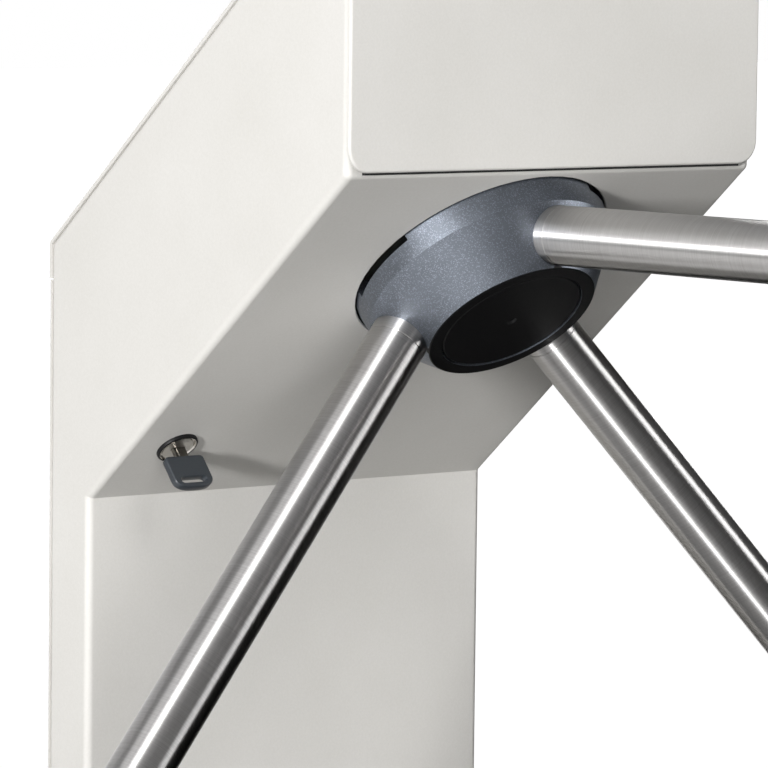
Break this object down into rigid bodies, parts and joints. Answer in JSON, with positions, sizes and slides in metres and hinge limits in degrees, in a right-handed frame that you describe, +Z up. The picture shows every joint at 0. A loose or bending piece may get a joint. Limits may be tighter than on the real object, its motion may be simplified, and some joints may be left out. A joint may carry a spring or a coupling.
{
  "type": "tripod turnstile",
  "caption": "Floor-standing tripod turnstile: flat sheet post leaning out into a head, cone hub with barrier arms on an inclined shaft, key lock, opening lid and inner mechanism.",
  "frame": {"origin": "centre of the four floor anchor holes, on the floor under the base plate", "axes": "+X from the post towards the passage, +Y along the walking direction, +Z up"},
  "size_m": [0.8515, 0.8076, 1.051],
  "materials": {
    "powder_coat": "warm light grey powder coat with a fine grain",
    "hub_paint": "dark blue-grey metallic flake paint",
    "black_plastic": "moulded black, satin",
    "stainless_tube": "stainless tube, brushed round",
    "zinc_steel": "bright zinc-plated sheet and bar",
    "fastener_steel": "zinc-plated fasteners",
    "machined_steel": "turned and ground steel",
    "bearing_steel": "polished bearing steel",
    "housing_aluminium": "turned aluminium",
    "solenoid_steel": "black oxide steel frame",
    "lock_chrome": "nickel and chrome plate",
    "key_plastic": "blue-grey moulded bow",
    "pinion_plastic": "natural acetal",
    "seal_rubber": "black rubber",
    "signal_plastic": "frosted translucent window",
    "board_green": "circuit board with parts"
  },
  "bodies": {
    "root": {"case_shell": "powder_coat", "upper_rear_cover": "powder_coat", "lower_rear_cover": "powder_coat", "base_plate": "powder_coat", "damper_body": "black_plastic", "encoder_sensor": "black_plastic", "release_switch": "black_plastic", "posts": "zinc_steel", "cross_rails": "zinc_steel", "side_plate_near": "zinc_steel", "side_plate_far": "zinc_steel", "front_plate": "zinc_steel", "rear_plate": "zinc_steel", "pillars": "zinc_steel", "face_standoffs": "zinc_steel", "hinge_fixed_leaves": "zinc_steel", "board_standoffs": "zinc_steel", "rear_cover_screws": "fastener_steel", "chassis_bolts": "fastener_steel", "housing_bolts": "fastener_steel", "hinge_pins": "fastener_steel", "lock_nut": "fastener_steel", "bearing_outer_rings": "bearing_steel", "bearing_housings": "housing_aluminium", "power_supply": "housing_aluminium", "solenoid_near": "solenoid_steel", "solenoid_far": "solenoid_steel", "lock_barrel": "lock_chrome", "lid_seal": "seal_rubber", "cable_grommet": "seal_rubber", "lock_washer": "seal_rubber", "control_board": "board_green"},
    "lid_body": {"lid": "powder_coat", "hinge_lid_leaves": "zinc_steel", "indicator_lens": "signal_plastic"},
    "rotor": {"hub": "hub_paint", "hub_cap": "black_plastic", "hub_bolt": "fastener_steel", "shaft": "machined_steel", "arm_tube_1": "stainless_tube", "arm_tube_2": "stainless_tube", "arm_tube_3": "stainless_tube", "arm_spigots": "stainless_tube", "arm_end_caps": "black_plastic", "spigot_screws": "fastener_steel", "bearing_inner_rings": "bearing_steel", "drive_gear": "machined_steel", "locking_disc": "machined_steel", "encoder_disc": "housing_aluminium", "shaft_spacers": "machined_steel", "shaft_nut": "fastener_steel"},
    "ball_set": {"bearing_balls": "bearing_steel"},
    "damper_rotor": {"damper_pinion": "pinion_plastic"},
    "plug": {"lock_plug": "lock_chrome", "lock_cam": "machined_steel"},
    "key": {"key_blade": "lock_chrome", "key_bow": "key_plastic"},
    "bolt_near": {"lock_bolt_near": "machined_steel"},
    "bolt_far": {"lock_bolt_far": "machined_steel"},
    "button": {"switch_plunger": "pinion_plastic"}
  },
  "joints": [
    {"name": "hub_spin", "type": "hinge", "parent": "root", "child": "rotor", "pos_m": [0.1259, 0, 0.88176], "axis": [0.6361, 0, -0.7716], "continuous": true},
    {"name": "ball_orbit", "type": "hinge", "parent": "root", "child": "ball_set", "pos_m": [0.1259, 0, 0.88176], "axis": [0.6361, 0, -0.7716], "continuous": true},
    {"name": "damper_spin", "type": "hinge", "parent": "root", "child": "damper_rotor", "pos_m": [0.0769, 0, 0.84137], "axis": [0.6361, 0, -0.7716], "continuous": true},
    {"name": "lid_open", "type": "hinge", "parent": "root", "child": "lid_body", "pos_m": [0.11866, 0, 1.048], "axis": [0, -1, 0], "range_deg": [0, 130]},
    {"name": "lock_turn", "type": "hinge", "parent": "root", "child": "plug", "pos_m": [-0.00335, -0.107, 0.77521], "axis": [-0.6361, 0, 0.7716], "range_deg": [0, 90]},
    {"name": "key_withdraw", "type": "slide", "parent": "plug", "child": "key", "axis": [0.6361, 0, -0.7716], "range_m": [0, 0.038]},
    {"name": "lock_bolt_near_slide", "type": "slide", "parent": "root", "child": "bolt_near", "axis": [0, 1, 0], "range_m": [0, 0.008], "stiffness_N_per_m": 200},
    {"name": "lock_bolt_far_slide", "type": "slide", "parent": "root", "child": "bolt_far", "axis": [0, -1, 0], "range_m": [0, 0.008], "stiffness_N_per_m": 200},
    {"name": "switch_press", "type": "slide", "parent": "root", "child": "button", "axis": [-0.7716, 0, -0.6361], "range_m": [0, 0.0012], "stiffness_N_per_m": 300}
  ],
  "couplings": [
    {"joint": "ball_orbit", "follows": "hub_spin", "ratio": 0.4111},
    {"joint": "damper_spin", "follows": "hub_spin", "ratio": -2.5}
  ]
}
